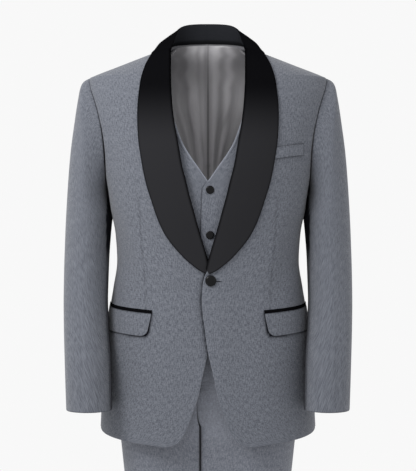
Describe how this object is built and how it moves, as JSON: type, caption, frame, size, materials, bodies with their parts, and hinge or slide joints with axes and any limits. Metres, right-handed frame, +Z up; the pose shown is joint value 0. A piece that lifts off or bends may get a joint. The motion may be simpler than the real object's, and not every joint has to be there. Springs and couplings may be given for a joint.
{
  "type": "tuxedo",
  "caption": "Three-piece dinner suit held in its worn shape: shawl-collar jacket, V-neck waistcoat and full-length trousers, hollow with open neck, cuffs and hems.",
  "frame": {"origin": "on the wearer's midline, level with the points where the shoulder seams meet the neck; it is where the wearer holds the garment up", "axes": "+Z up along the wearer, -Y out of the chest, +X to the wearer's left"},
  "size_m": [0.5412, 0.3047, 1.5679],
  "materials": {
    "cloth": "matte mid-grey wool twill",
    "satin": "black satin with a soft sheen",
    "lining": "grey satin lining with a soft sheen"
  },
  "bodies": {
    "root": {"jacket_front_left": "cloth", "jacket_front_right": "cloth", "jacket_side_left": "cloth", "jacket_side_right": "cloth", "jacket_back_left": "cloth", "jacket_back_right": "cloth", "sleeve_top_left": "cloth", "sleeve_top_right": "cloth", "sleeve_under_left": "cloth", "sleeve_under_right": "cloth", "pocket_flap_left": "cloth", "pocket_flap_right": "cloth", "waistcoat_front_left": "cloth", "waistcoat_front_right": "cloth", "trouser_front_left": "cloth", "trouser_front_right": "cloth", "trouser_back_left": "cloth", "trouser_back_right": "cloth", "waistband_left": "cloth", "waistband_right": "cloth", "shawl_collar_left": "satin", "shawl_collar_right": "satin", "pocket_jet_left": "satin", "pocket_jet_right": "satin", "waistcoat_back_left": "lining", "waistcoat_back_right": "lining", "breast_welt": "cloth", "jacket_button": "satin", "waistcoat_button_1": "satin", "waistcoat_button_2": "satin", "waistcoat_button_3": "satin", "waistcoat_button_4": "satin"}
  },
  "joints": []
}
